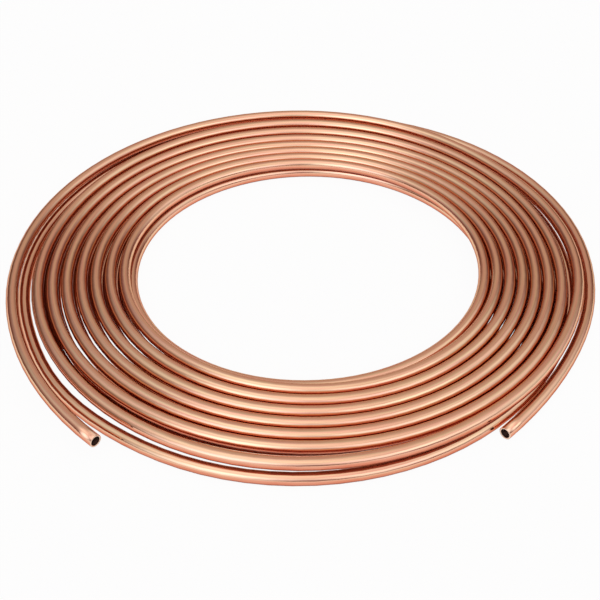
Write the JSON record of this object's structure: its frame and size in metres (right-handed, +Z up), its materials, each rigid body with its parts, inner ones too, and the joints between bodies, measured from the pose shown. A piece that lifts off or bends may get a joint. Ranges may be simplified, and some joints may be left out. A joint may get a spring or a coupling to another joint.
{
  "type": "copper tube coil",
  "caption": "Flat double-layer coil of soft round copper tube with an open eye and two square-cut free ends.",
  "frame": {"origin": "on the floor, at the middle of the coil's footprint", "axes": "+Z up, through the eye of the coil; both cut ends lie on the -Y side, the upper one towards -X"},
  "size_m": [0.3228, 0.3238, 0.013],
  "materials": {
    "copper": "bright drawn copper, smooth, lightly tarnished"
  },
  "bodies": {
    "root": {"copper_tube": "copper"}
  },
  "joints": []
}
